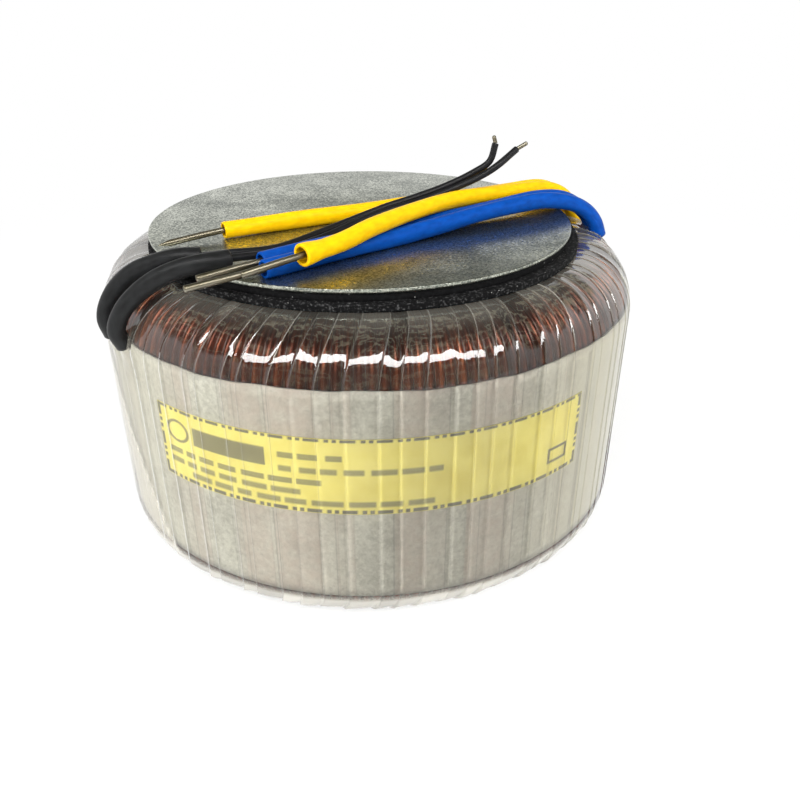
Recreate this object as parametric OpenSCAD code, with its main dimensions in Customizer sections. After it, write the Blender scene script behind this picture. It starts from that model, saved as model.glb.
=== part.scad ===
// Toroidal mains transformer, 300 VA class, with its mounting disc, gaskets and bare-ended leads.
// Origin: middle of the underside, on the face the transformer stands on. Z points up.
// The coil is built from the core outwards: every layer takes its size from the one beneath it.

/* [Core] */
// Outer diameter of the strip-wound core
core_d = 102; // [96:1:108]
// Hole through the core
core_bore = 64; // [60:1:68]
// Height of the core
core_h = 39; // [34:1:44]

/* [Core insulation] */
// Pressboard rings and sleeves round the core
board_t = 0.7; // [0.5:0.1:1]
// Tape over the boards
core_tape_t = 0.4; // [0.3:0.1:0.6]

/* [Primary] */
// Build of the primary on the rim
primary_rim_t = 2.4; // [2:0.1:2.8]
// Build of the primary in the hole, where its turns crowd
primary_hole_t = 4; // [3.5:0.1:4.5]
// Build of the primary on the ends
primary_end_t = 3.2; // [2.8:0.1:3.6]
// Insulation over the primary
primary_insulation_t = 0.4; // [0.3:0.1:0.6]

/* [Secondaries] */
// Enamelled wire of both secondaries
wire_d = 1.4; // [1.2:0.05:1.6]
// Build of the first secondary on the ends, beside the hole
secondary_end_t = 2.3; // [2:0.1:2.6]
// Insulation between the secondaries
secondary_insulation_t = 0.5; // [0.3:0.1:0.7]
// Air between two turns that lie side by side in the hole
turn_gap = 0.05; // [0.02:0.01:0.2]

/* [Paper and label] */
// Paper band round the rim
paper_t = 0.4; // [0.3:0.05:0.5]
// Height of the paper band
paper_h = 45.8; // [40:0.1:47]
// Lower edge of the paper band above the underside
paper_low = 6.5; // [6:0.1:9]
// Label stuck on the paper
label_t = 0.1; // [0.05:0.05:0.2]
// Length of the label round the rim
label_w = 91; // [60:1:120]
// Height of the label
label_h = 16.3; // [12:0.1:18]
// Lower edge of the label above the underside
label_low = 26.5; // [20:0.1:30]

/* [Film wrap] */
// Clear film round the whole coil, several laps thick
wrap_t = 0.4; // [0.35:0.05:0.6]
// Width of film that each lap leaves showing on the rim
strip_w = 4.7; // [3.5:0.1:8]
// Step from one lap down to the next
lap_step = 0.2; // [0.1:0.05:0.25]
// Radius of the upper shoulder
shoulder_r = 12.5; // [11:0.5:14]
// Radius of the lower edge
foot_r = 7; // [6:0.5:8]
// Radius of both edges of the centre hole
mouth_r = 4.5; // [4:0.25:6]

/* [Mounting kit] */
// Pressed steel disc
disc_d = 93.6; // [85:0.1:100]
// Thickness of the disc
disc_t = 1; // [0.8:0.1:2]
// Hole for an M8 bolt
bolt_hole_d = 8.5; // [6.5:0.1:10.5]
// Offset of the disc and upper gasket to the right
disc_x = -1.4; // [-2:0.1:2]
// Offset of the disc and upper gasket to the rear
disc_y = -0.4; // [-2:0.1:2]
// Thickness of each rubber gasket
gasket_t = 1.5; // [1:0.1:3]
// Lower gasket
lower_gasket_d = 95.7; // [86:0.1:102]
// Offset of the lower gasket to the right
lower_gasket_x = -0.7; // [-2:0.1:2]
// Upper gasket
upper_gasket_d = 92.4; // [84:0.1:100]
// Hole in both gaskets
gasket_hole_d = 12; // [11:0.5:20]

/* [Leads] */
// Outer diameter of the black, yellow and blue sleeves
sleeve_d = 3.5; // [3.2:0.1:3.6]
// Bore of the sleeves
sleeve_bore = 2.5; // [2:0.1:2.7]
// Insulated flexible leads of the primary
lead_d = 1.5; // [1.2:0.1:1.7]
// Tinned strands at the ends of the flexible leads
tip_d = 0.9; // [0.7:0.1:1.1]
// Tinned ends of the secondary wires
conductor_d = 1.3; // [1:0.1:1.5]

/* [Hidden] */
$fa = 3;
$fs = 0.3;

// Air left between layers, and between the label and what lies over and under it
gap = 0.1;
label_gap = 0.05;
film_gap = 0.15;
// Least rounding of an inner edge
edge_r = 0.4;
// Sides of every lead
lead_sides = 8;

// Radii on the rim, from the core outwards
rim_sleeve = core_d / 2 + gap + board_t;
rim_tape = rim_sleeve + gap + core_tape_t;
rim_primary = rim_tape + gap + primary_rim_t;
rim_primary_insulation = rim_primary + gap + primary_insulation_t;
rim_secondary_1 = rim_primary_insulation + gap + wire_d;
rim_secondary_insulation = rim_secondary_1 + gap + secondary_insulation_t;
rim_secondary_2 = rim_secondary_insulation + gap + wire_d;
rim_paper = rim_secondary_2 + gap + paper_t;
rim_label = rim_paper + label_gap + label_t;
rim_wrap = rim_label + label_gap + wrap_t;

// Radii in the hole, from the core inwards. Both secondaries lie two deep here.
hole_sleeve = core_bore / 2 - gap - board_t;
hole_tape = hole_sleeve - gap - core_tape_t;
hole_primary = hole_tape - gap - primary_hole_t;
hole_primary_insulation = hole_primary - gap - primary_insulation_t;
hole_secondary_1 = hole_primary_insulation - gap - 2 * wire_d;
hole_secondary_insulation = hole_secondary_1 - gap - secondary_insulation_t;
hole_secondary_2 = hole_secondary_insulation - gap - 2 * wire_d;
hole_wrap = hole_secondary_2 - gap - wrap_t;

// Half heights from the middle of the core. A pair is [at the rim, at the hole].
half_core = core_h / 2;
half_board = half_core + gap + board_t;
half_tape = half_board + gap + core_tape_t;
half_primary = half_tape + gap + primary_end_t;
half_primary_insulation = half_primary + gap + primary_insulation_t;
half_secondary_1 = half_primary_insulation + gap + secondary_end_t + wire_d;
half_secondary_insulation = half_secondary_1 + gap + secondary_insulation_t;
half_secondary_2 = half_secondary_insulation + gap + wire_d;
half_wrap = half_secondary_2 + gap + wrap_t;
middle = half_wrap;
top = 2 * half_wrap;

// Rounding of the rim's shoulder and foot and of the hole's edges, one layer inside the next
under_wrap = wrap_t + gap;
under_wire = under_wrap + wire_d + gap;
under_insulation = under_wire + secondary_insulation_t + gap;
under_secondary = under_insulation + wire_d + gap;
under_primary_insulation = under_secondary + primary_insulation_t + gap;

// Turns of the outer secondary: one layer on the rim, two in the hole. The crowd ends where
// the turns have room to lie side by side.
turns = 2 * floor(2 * PI * (hole_secondary_2 + wire_d / 2) / (wire_d + turn_gap));
turn_w = wire_d - turn_gap;
turn_root = 0.6;
crowd_r = turns * (wire_d + turn_gap) / (2 * PI) + turn_root;
crowd_sink = 0.05;

// Laps of film round the coil, and the width of the step beside each
laps = round(2 * PI * rim_wrap / strip_w);
lap_edge = 0.6;

// The front of the transformer, where the label is
front = -90;
label_angle = label_w / rim_label * 180 / PI;

// Heights of the mounting kit
disc_low = top + 2 * gasket_t;

// A layer: [rim, hole, half height at rim, half height at hole, shoulder, foot, mouth]
tape_layer = [rim_tape, hole_tape, half_tape, half_tape, edge_r, edge_r, edge_r];
primary_layer = [rim_primary, hole_primary, half_primary, half_primary,
    shoulder_r - under_primary_insulation, max(foot_r - under_primary_insulation, edge_r), edge_r];
primary_insulation_layer = [rim_primary_insulation, hole_primary_insulation,
    half_primary_insulation, half_primary_insulation,
    shoulder_r - under_secondary, max(foot_r - under_secondary, edge_r), edge_r];
secondary_1_layer = [rim_secondary_1, hole_secondary_1, half_secondary_1, half_secondary_1 - wire_d,
    shoulder_r - under_insulation, foot_r - under_insulation, edge_r];
secondary_insulation_layer = [rim_secondary_insulation, hole_secondary_insulation,
    half_secondary_insulation, half_secondary_insulation - wire_d,
    shoulder_r - under_wire, foot_r - under_wire, edge_r];
secondary_2_layer = [rim_secondary_2, hole_secondary_2, half_secondary_2, half_secondary_2,
    shoulder_r - under_wrap, foot_r - under_wrap, mouth_r - under_wrap];
wrap_layer = [rim_wrap, hole_wrap, half_wrap, half_wrap, shoulder_r, foot_r, mouth_r];

// Where a lead leaves the film: azimuth, then angle up the shoulder
blue_1_exit = [5, 52.5];
blue_2_exit = [9.5, 52.5];
yellow_1_exit = [23, 56];
yellow_2_exit = [17, 55];
black_1_exit = [217.5, 9];
black_2_exit = [211, 9];

// Routes of the leads, in millimetres, chosen by hand
blue_1_route = [[53.5, 4, 63], [50.8, 3, 66], [46.5, 1.5, 68.2], [40, -1, 69.4], [32.5, -5, 69.4],
    [24, -10, 69], [15, -16, 68.3], [5, -23, 67.8], [-6, -31, 67.8], [-19, -41, 67.8]];
blue_2_route = [[53, 8.5, 63], [49.5, 7.5, 66.2], [45, 6.3, 68.2], [38.5, 3.4, 68.7], [30, -1.8, 68.4],
    [19, -8.3, 67.9], [7, -16.6, 67.8], [-6.5, -26, 67.8], [-20, -36.6, 67.8]];
yellow_1_route = [[49, 20, 63.2], [46.3, 19, 66.5], [42, 17, 68.2], [34, 13.5, 68.2], [24, 9.5, 67.9],
    [13, 5, 67.8], [-1, -2, 67.8], [-15, -8.5, 67.8], [-30, -16, 67.8]];
yellow_2_route = [[50.2, 14.8, 63.5], [47.5, 13, 67], [42.5, 10.5, 69.2], [34.5, 5, 70.2],
    [26, -1, 70.8], [17.5, -8, 71.3], [9, -17.2, 71.5], [1, -26.8, 71.3], [-5, -34.2, 70.6],
    [-12, -41, 70.3]];
black_1_route = [[-48.2, -37.8, 55], [-46.5, -37.8, 58.8], [-43.5, -37.3, 62], [-39.5, -37.3, 64.8],
    [-35, -37.5, 66.8], [-30.5, -37, 67.8], [-26, -34.5, 67.8]];
black_2_route = [[-51.8, -32, 55], [-51, -31.5, 58], [-48.8, -31.2, 61.2], [-45, -31.5, 64.3],
    [-40, -32.5, 66.5], [-35.5, -33.5, 67.8], [-31.5, -33, 67.8]];
lead_1_route = [[-30.5, -37, 67.8], [-26, -34.5, 67.8], [-18, -28.5, 67], [-9.8, -19.8, 67],
    [-3, -13.5, 68.1], [4, -9.5, 69.6], [11, -7, 71], [18, -4.5, 72.8], [24.5, -3, 75.2],
    [28.5, -2.5, 77.5], [33.2, 0.5, 80.5]];
lead_2_route = [[-35.5, -33.5, 67.8], [-31.5, -33, 67.8], [-26, -31.8, 68], [-18.2, -26.2, 67.1],
    [-10.3, -17.5, 67.4], [-3, -11.7, 68.6], [4, -7.8, 70.2], [11, -5.2, 71.7], [18, -2.8, 73.6],
    [23.5, -1.5, 75.9], [27, -1.2, 78.2], [28.2, -0.8, 82]];
lead_1_tip = [35.5, 0.7, 81.8];
lead_2_tip = [27.7, -0.7, 83.6];
// Each solid end runs from inside the mouth of its sleeve to its cut tip
yellow_1_end = [[-21, -11.5, 67.8], [-30, -16, 67.8], [-42, -22.5, 66.7]];
yellow_2_end = [[-5, -34.2, 70.6], [-12, -41, 70.3], [-17.5, -44.5, 69.6], [-22.2, -46.3, 68.6]];
blue_1_end = [[-11, -34.8, 67.8], [-19, -41, 67.8], [-32, -48, 66.8]];
blue_2_end = [[-12, -30.3, 67.8], [-20, -36.6, 67.8], [-30.7, -43.3, 67]];

// ---- outlines ----

function unit(v) = v / norm(v);

// Corners of a layer's section, anticlockwise from the foot, grown outwards by g
function corners(layer, g = 0) = [
    [layer[0] + g, middle - layer[2] - g], [layer[0] + g, middle + layer[2] + g],
    [layer[1] - g, middle + layer[3] + g], [layer[1] - g, middle - layer[3] - g]];
function roundings(layer, g = 0) = [layer[5] + g, layer[4] + g, layer[6] + g, layer[6] + g];

// Rounding of radius r at corner i: the two points where it starts and ends, and its centre
function towards(p, i, step) = unit(p[(i + step) % len(p)] - p[i]);
function half_angle(p, i) = acos(towards(p, i, 1) * towards(p, i, len(p) - 1)) / 2;
function round_start(p, i, r) = p[i] + towards(p, i, len(p) - 1) * r / tan(half_angle(p, i));
function round_end(p, i, r) = p[i] + towards(p, i, 1) * r / tan(half_angle(p, i));
function round_centre(p, i, r) =
    p[i] + unit(towards(p, i, 1) + towards(p, i, len(p) - 1)) * r / sin(half_angle(p, i));

module section(layer, g = 0) {
    p = corners(layer, g);
    r = roundings(layer, g);
    polygon([for (i = [0:3]) each [round_start(p, i, r[i]), round_end(p, i, r[i])]]);
    for (i = [0:3])
        translate(round_centre(p, i, r[i])) circle(r = r[i]);
}

// A closed layer over the one beneath it
module shell(layer, beneath) {
    rotate_extrude()
        difference() {
            section(layer);
            section(beneath, gap);
        }
}

// A tube or band round the axis between two radii
module band(inner, outer, low, height) {
    rotate_extrude() translate([inner, low]) square([outer - inner, height]);
}

// ---- leads ----

function direction(p, i) = unit(p[min(i + 1, len(p) - 1)] - p[max(i - 1, 0)]);
function upright(t, last) = unit(last - t * (last * t));
// One side vector for each point of a route, carried along it without twist
function sides(p, way, last, i = 0) =
    i == len(p) ? [] : let (n = upright(way[i], last)) concat([n], sides(p, way, n, i + 1));
function ring(c, t, n, r) =
    [for (k = [0:lead_sides - 1]) let (a = 360 * k / lead_sides)
        c + r * (cos(a) * n + sin(a) * cross(t, n))];
function rings(p, way, n, r) = [for (i = [0:len(p) - 1]) each ring(p[i], way[i], n[i], r)];
// Quads between two neighbouring rings of points that start at a and b
function skin(a, b) =
    [for (k = [0:lead_sides - 1]) let (m = (k + 1) % lead_sides) [a + k, b + k, b + m, a + m]];

// A round lead along a route. A bore makes it a sleeve, and start turns its first ring.
module lead(p, d, bore = 0, start = undef) {
    n = len(p);
    way = [for (i = [0:n - 1]) i == 0 && start != undef ? start : direction(p, i)];
    across = sides(p, way, [0.1, 1, 0.1]);
    inner = n * lead_sides;
    last = (n - 1) * lead_sides;
    outside = [for (i = [0:n - 2]) each skin(i * lead_sides, (i + 1) * lead_sides)];
    inside = [for (i = [0:n - 2]) each skin(inner + (i + 1) * lead_sides, inner + i * lead_sides)];
    if (bore > 0)
        polyhedron(concat(rings(p, way, across, d / 2), rings(p, way, across, bore / 2)),
            concat(outside, inside, skin(inner, 0), skin(last, inner + last)));
    else
        polyhedron(rings(p, way, across, d / 2),
            concat(outside, [[for (k = [0:lead_sides - 1]) k]],
                [[for (k = [0:lead_sides - 1]) last + lead_sides - 1 - k]]));
}

// The way out of the film at an exit, and the point on the film where a sleeve starts
function exit_way(e) = [cos(e[1]) * cos(e[0]), cos(e[1]) * sin(e[0]), sin(e[1])];
function exit_point(e) =
    let (r = rim_wrap - shoulder_r, z = top - shoulder_r)
    [r * cos(e[0]), r * sin(e[0]), z] + (shoulder_r + film_gap) * exit_way(e);

module sleeve(exit, route) {
    lead(concat([exit_point(exit)], route), sleeve_d, sleeve_bore, exit_way(exit));
}

// ---- core ----

module core() {
    color("dimgray") band(core_bore / 2, core_d / 2, middle - half_core, core_h);
}

module core_ring(side) {
    low = side > 0 ? middle + half_core + gap : middle - half_core - gap - board_t;
    color("burlywood") band(core_bore / 2, core_d / 2, low, board_t);
}

module upper_core_ring() { core_ring(1); }

module lower_core_ring() { core_ring(-1); }

module core_inner_sleeve() {
    color("burlywood") band(hole_sleeve, core_bore / 2 - gap, middle - half_board, 2 * half_board);
}

module core_outer_sleeve() {
    color("burlywood") band(core_d / 2 + gap, rim_sleeve, middle - half_board, 2 * half_board);
}

module core_tape() {
    color("khaki")
        rotate_extrude()
            difference() {
                section(tape_layer);
                translate([hole_sleeve - gap, middle - half_board - gap])
                    square([rim_sleeve - hole_sleeve + 2 * gap, 2 * (half_board + gap)]);
            }
}

// ---- windings ----

module primary_winding() { color("chocolate") shell(primary_layer, tape_layer); }

module primary_insulation() { color("wheat") shell(primary_insulation_layer, primary_layer); }

module secondary_winding_1() {
    color("chocolate") shell(secondary_1_layer, primary_insulation_layer);
}

module secondary_insulation() {
    color("wheat") shell(secondary_insulation_layer, secondary_1_layer);
}

// A turn as it lies outside the crowd: over the rim, the shoulder, the foot and part of each end
module turn() {
    rotate([90, 0, 0])
        linear_extrude(turn_w, center = true)
            difference() {
                section(secondary_2_layer);
                section(secondary_2_layer, -wire_d);
                square([crowd_r - turn_root, top]);
            }
}

// Within the crowd the turns press together and lie two deep, so there they are one solid ring
module secondary_winding_2() {
    color("sienna") {
        rotate_extrude()
            difference() {
                section(secondary_2_layer, -crowd_sink);
                section(secondary_insulation_layer, gap);
                translate([crowd_r, 0]) square([rim_wrap, top]);
            }
        for (i = [0:turns - 1])
            rotate([0, 0, 360 * i / turns]) turn();
    }
}

// ---- outside of the coil ----

module paper_band() {
    color("lightgray") band(rim_secondary_2 + gap, rim_paper, paper_low, paper_h);
}

module label() {
    color("khaki")
        rotate([0, 0, front - label_angle / 2])
            rotate_extrude(angle = label_angle)
                translate([rim_paper + label_gap, label_low]) square([label_t, label_h]);
}

// Film laid on in laps: on the rim a shallow step runs down beside the edge of each lap
module laps() {
    for (i = [0:laps - 1])
        rotate([0, 0, 360 * i / laps])
            translate([rim_wrap - lap_step, 0, foot_r + lap_edge])
                cube([1, lap_edge, top - shoulder_r - foot_r - 2 * lap_edge]);
}

module outer_wrap() {
    color("gainsboro")
        difference() {
            rotate_extrude() section(wrap_layer);
            laps();
            rotate_extrude() section(secondary_2_layer, gap);
            band(rim_secondary_2, rim_paper + label_gap, paper_low - label_gap, paper_h + 2 * label_gap);
            band(rim_secondary_2, rim_label + label_gap, label_low - label_gap, label_h + 2 * label_gap);
        }
}

// ---- mounting kit ----

module washer(d, hole, t) {
    difference() {
        cylinder(d = d, h = t);
        translate([0, 0, -1]) cylinder(d = hole, h = t + 2);
    }
}

module lower_gasket() {
    color("black") translate([lower_gasket_x, disc_y, top])
        washer(lower_gasket_d, gasket_hole_d, gasket_t);
}

module upper_gasket() {
    color("black") translate([disc_x, disc_y, top + gasket_t])
        washer(upper_gasket_d, gasket_hole_d, gasket_t);
}

module mounting_disc() {
    color("silver") translate([disc_x, disc_y, disc_low]) washer(disc_d, bolt_hole_d, disc_t);
}

// ---- leads of the primary ----

module black_sleeve_1() { color("#262626") sleeve(black_1_exit, black_1_route); }

module black_sleeve_2() { color("#262626") sleeve(black_2_exit, black_2_route); }

module black_lead_1() { color("#1c1c1c") lead(lead_1_route, lead_d); }

module black_lead_2() { color("#1c1c1c") lead(lead_2_route, lead_d); }

module tip(route, end) {
    last = len(route) - 1;
    color("silver") lead([route[last], end], tip_d, start = direction(route, last));
}

module black_tip_1() { tip(lead_1_route, lead_1_tip); }

module black_tip_2() { tip(lead_2_route, lead_2_tip); }

// ---- leads of the secondaries ----

module yellow_sleeve_1() { color("gold") sleeve(yellow_1_exit, yellow_1_route); }

module yellow_sleeve_2() { color("gold") sleeve(yellow_2_exit, yellow_2_route); }

module yellow_conductor_1() { color("silver") lead(yellow_1_end, conductor_d); }

module yellow_conductor_2() { color("silver") lead(yellow_2_end, conductor_d); }

module blue_sleeve_1() { color("royalblue") sleeve(blue_1_exit, blue_1_route); }

module blue_sleeve_2() { color("royalblue") sleeve(blue_2_exit, blue_2_route); }

module blue_conductor_1() { color("silver") lead(blue_1_end, conductor_d); }

module blue_conductor_2() { color("silver") lead(blue_2_end, conductor_d); }

core();
upper_core_ring();
lower_core_ring();
core_inner_sleeve();
core_outer_sleeve();
core_tape();
primary_winding();
primary_insulation();
secondary_winding_1();
secondary_insulation();
secondary_winding_2();
paper_band();
label();
outer_wrap();
lower_gasket();
upper_gasket();
mounting_disc();
black_sleeve_1();
black_sleeve_2();
black_lead_1();
black_lead_2();
black_tip_1();
black_tip_2();
yellow_sleeve_1();
yellow_sleeve_2();
yellow_conductor_1();
yellow_conductor_2();
blue_sleeve_1();
blue_sleeve_2();
blue_conductor_1();
blue_conductor_2();
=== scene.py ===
import bpy
import math
import numpy as np
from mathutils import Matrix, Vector


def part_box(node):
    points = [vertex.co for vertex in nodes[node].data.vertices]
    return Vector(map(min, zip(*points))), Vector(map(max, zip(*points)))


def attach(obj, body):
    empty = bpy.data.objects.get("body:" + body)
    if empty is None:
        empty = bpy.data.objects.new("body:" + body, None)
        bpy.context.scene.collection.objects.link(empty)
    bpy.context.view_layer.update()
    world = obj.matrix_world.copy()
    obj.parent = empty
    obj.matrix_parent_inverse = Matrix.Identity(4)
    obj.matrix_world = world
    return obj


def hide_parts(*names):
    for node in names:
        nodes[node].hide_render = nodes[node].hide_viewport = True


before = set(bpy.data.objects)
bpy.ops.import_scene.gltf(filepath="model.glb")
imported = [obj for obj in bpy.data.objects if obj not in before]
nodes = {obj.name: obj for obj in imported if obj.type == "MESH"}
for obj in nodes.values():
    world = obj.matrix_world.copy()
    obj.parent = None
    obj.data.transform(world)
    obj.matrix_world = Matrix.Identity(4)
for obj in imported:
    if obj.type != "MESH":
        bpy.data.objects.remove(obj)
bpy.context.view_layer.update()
mm = 0.001  # shapes are worked out in millimetres and made in metres
print("frame loaded:", len(nodes), "nodes")


def reach(node):
    # a CAD node's widest radius, and its lowest and highest height
    low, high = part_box(node)
    return [round(float(c) / mm, 3) for c in (high[0], low[2], high[2])]


def smooth(x, low, high):
    # 0 below low, 1 above high, and t^2 (3 - 2t) between them
    t = np.clip((x - low) / (high - low), 0, 1)
    return t * t * (3 - 2 * t)


def linear(hexColour):
    parts = [int(hexColour[i:i + 2], 16) / 255 for i in (1, 3, 5)]
    return [p / 12.92 if p <= 0.04045 else ((p + 0.055) / 1.055) ** 2.4 for p in parts] + [1.0]


def addNode(tree, kind, inputs=(), stops=(), **settings):
    # inputs maps a socket's name or number to a value, a hex colour or the output that feeds it;
    # stops are the places and hex colours of a ramp, in order
    node = tree.nodes.new(kind)
    for key, value in settings.items():
        setattr(node, key, value)
    for key, value in dict(inputs).items():
        if isinstance(value, bpy.types.NodeSocket):
            tree.links.new(value, node.inputs[key])
        else:
            node.inputs[key].default_value = linear(value) if isinstance(value, str) else value
    for _ in stops[2:]:  # a new ramp has two stops
        node.color_ramp.elements.new(0.5)
    for k, (place, colour) in enumerate(stops):
        node.color_ramp.elements[k].position = place
        node.color_ramp.elements[k].color = linear(colour)
    return node


def newMaterial(name):
    material = bpy.data.materials.new(name)
    material.use_nodes = True
    material.node_tree.nodes.clear()
    return material, material.node_tree


# In the materials below, a Scale on Object coordinates counts features in a metre,
# so 1000 / Scale is the size of one in millimetres.


def makeMesh(name, points, faces, attributes=(), uv=None):
    # faces is a list of arrays of corners; an attribute holds a number for each point, uv a pair
    mesh = bpy.data.meshes.new(name)
    points = np.asarray(points, float).reshape(-1, 3)
    corners = np.concatenate([group.ravel() for group in faces]).astype(np.int32)
    sizes = np.concatenate([np.full(len(group), group.shape[1], np.int32) for group in faces])
    mesh.vertices.add(len(points))
    mesh.vertices.foreach_set("co", points.ravel())
    mesh.loops.add(len(corners))
    mesh.loops.foreach_set("vertex_index", corners)
    mesh.polygons.add(len(sizes))
    mesh.polygons.foreach_set("loop_start", np.cumsum(sizes, dtype=np.int32) - sizes)
    mesh.update(calc_edges=True)
    mesh.polygons.foreach_set("use_smooth", np.ones(len(sizes), bool))
    for key, values in dict(attributes).items():
        layer = mesh.attributes.new(key, "FLOAT", "POINT")
        layer.data.foreach_set("value", np.asarray(values, np.float32).ravel())
    if uv is not None:
        mesh.uv_layers.new(name="UVMap").data.foreach_set("uv", uv[corners].ravel())
    mesh.validate()
    obj = bpy.data.objects.new(name, mesh)
    bpy.context.scene.collection.objects.link(obj)
    return obj


def dress(piece, material, node):
    # the finish of a piece that stands for a CAD node
    piece.data.materials.append(material)
    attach(piece, "root")
    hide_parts(node)


def gridFaces(rows, columns, closeRows=False, closeColumns=False):
    # quads of a grid of rows x columns points, wrapped round where it closes
    i = np.arange(rows if closeRows else rows - 1)[:, None]
    j = np.arange(columns if closeColumns else columns - 1)[None, :]
    below, above = i * columns, (i + 1) % rows * columns
    nextColumn = (j + 1) % columns
    return np.stack([below + j, below + nextColumn, above + nextColumn, above + j], axis=-1).reshape(-1, 4)


def roundedSection(rim, hole, low, high, shoulder, foot, mouth, counts):
    # a rectangle with a corner radius of shoulder, mouth, mouth and foot, as points (r, z) with outward
    # normals: up the rim, over the top, down the hole and back along the underside; counts is the
    # number of points on each straight and each corner in turn
    corners = [(rim, high, shoulder, 0), (hole, high, mouth, 90),
               (hole, low, mouth, 180), (rim, low, foot, 270)]
    starts = [(rim, low + foot), (rim - shoulder, high), (hole, high - mouth), (hole + mouth, low)]
    ends = [(rim, high - shoulder), (hole + mouth, high), (hole, low + mouth), (rim - foot, low)]
    points, normals = [], []
    for k, (r, z, radius, turn) in enumerate(corners):
        t = np.linspace(0, 1, counts[2 * k], endpoint=False)[:, None]
        points.append(np.array(starts[k]) * (1 - t) + np.array(ends[k]) * t)
        facing = (math.cos(math.radians(turn)), math.sin(math.radians(turn)))
        normals.append(np.tile(facing, (counts[2 * k], 1)))
        angle = np.radians(turn + 90 * np.linspace(0, 1, counts[2 * k + 1], endpoint=False))
        outwards = np.stack([np.cos(angle), np.sin(angle)], axis=1)
        towards = np.array([1 if turn in (0, 270) else -1, 1 if turn in (0, 90) else -1])
        points.append(np.array([r, z]) - radius * towards + radius * outwards)
        normals.append(outwards)
    return np.concatenate(points), np.concatenate(normals)


def roundTheAxis(r, z, angle):
    # x = r cos angle, y = r sin angle
    return np.stack(np.broadcast_arrays(r * np.cos(angle), r * np.sin(angle), z), axis=-1)


def raised(section, normal, height):
    # r and z of a section's points moved out along their normals
    return section[:, :1] + height * normal[:, :1], section[:, 1:] + height * normal[:, 1:]


# Camera and cords come first. The camera's place is in metres, and its lens and sensor in millimetres.
camera = {"place": (0, -0.17755, 0.11477), "forward": (0.0362, 0.8778, -0.4776),
          "lens": 35.387, "sensor": 36, "nearest": 0.01}
cameraData = bpy.data.cameras.new("camera")
cameraData.lens = camera["lens"]
cameraData.sensor_width = camera["sensor"]
cameraData.clip_start = camera["nearest"]
cameraObject = bpy.data.objects.new("camera", cameraData)
cameraObject.location = camera["place"]
cameraObject.rotation_euler = Vector(camera["forward"]).to_track_quat("-Z", "Y").to_euler()
bpy.context.scene.collection.objects.link(cameraObject)
bpy.context.scene.camera = cameraObject


# PVC sleeving: extruded and soft, so a satin skin with dull streaks along it and a fine grain
def pvcMaterial(name, body, shade, roughness, gloss):
    material, tree = newMaterial(name)
    coord = addNode(tree, "ShaderNodeTexCoord")
    # UV runs 1 for a millimetre along and 1 for the whole way round: streaks 2.1 mm long, 1.1 mm wide
    place = addNode(tree, "ShaderNodeMapping", {"Vector": coord.outputs["UV"], "Scale": (0.12, 2.5, 1)})
    streak = addNode(tree, "ShaderNodeTexNoise", {"Vector": place.outputs[0], "Scale": 4, "Detail": 4})
    grain = addNode(tree, "ShaderNodeTexNoise", {
        "Vector": coord.outputs["Object"], "Scale": 2600, "Detail": 2})  # 0.4 mm
    tint = addNode(tree, "ShaderNodeValToRGB", {"Fac": streak.outputs["Fac"]}, [(0.3, shade), (0.62, body)])
    rough = addNode(tree, "ShaderNodeMapRange", {
        "Value": streak.outputs["Fac"], "From Min": 0.3, "From Max": 0.7,
        "To Min": roughness - 0.05, "To Max": roughness + 0.08})
    bump = addNode(tree, "ShaderNodeBump", {
        "Strength": 0.12, "Distance": 0.00008, "Height": grain.outputs["Fac"]})
    shader = addNode(tree, "ShaderNodeBsdfPrincipled", {
        "Base Color": tint.outputs["Color"], "Roughness": rough.outputs[0], "Normal": bump.outputs[0],
        "IOR": 1.45, "Specular IOR Level": gloss})
    addNode(tree, "ShaderNodeOutputMaterial", {"Surface": shader.outputs[0]})
    return material


# tinned copper: hot dipped, so bright metal with dull oxide patches drawn out along the wire
def tinMaterial():
    material, tree = newMaterial("tinnedCopper")
    coord = addNode(tree, "ShaderNodeTexCoord")
    # patches 11 mm long and 1.2 mm wide on a wire of 1.3 mm
    place = addNode(tree, "ShaderNodeMapping", {"Vector": coord.outputs["UV"], "Scale": (0.04, 1.6, 1)})
    patch = addNode(tree, "ShaderNodeTexNoise", {"Vector": place.outputs[0], "Scale": 2.2, "Detail": 1})
    colour = addNode(tree, "ShaderNodeValToRGB", {"Fac": patch.outputs["Fac"]},
                     [(0.3, "#5c5444"), (0.5, "#8b8471"), (0.68, "#aaa596")])
    rough = addNode(tree, "ShaderNodeMapRange", {
        "Value": patch.outputs["Fac"], "From Min": 0.3, "From Max": 0.7, "To Min": 0.45, "To Max": 0.32})
    shader = addNode(tree, "ShaderNodeBsdfPrincipled", {
        "Base Color": colour.outputs["Color"], "Roughness": rough.outputs[0], "Metallic": 1.0})
    addNode(tree, "ShaderNodeOutputMaterial", {"Surface": shader.outputs[0]})
    return material


def routeCurve(points, step=0.6):
    # Catmull-Rom curve through the points, resampled at an even step
    p = np.array(points, float)
    p = np.vstack([2 * p[0] - p[1], p, 2 * p[-1] - p[-2]])
    t = np.linspace(0, 1, 24, endpoint=False)[:, None]
    runs = []
    for i in range(1, len(p) - 2):
        a, b, c, d = p[i - 1:i + 3]
        runs.append(0.5 * (2 * b + (c - a) * t + (2 * a - 5 * b + 4 * c - d) * t ** 2
                           + (3 * b - a - 3 * c + d) * t ** 3))
    dense = np.vstack(runs + [p[-2:-1]])
    length = np.concatenate([[0], np.cumsum(np.linalg.norm(np.diff(dense, axis=0), axis=1))])
    stations = np.linspace(0, length[-1], max(4, int(length[-1] / step) + 1))
    return np.stack([np.interp(stations, length, dense[:, k]) for k in range(3)], axis=1), stations


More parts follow.
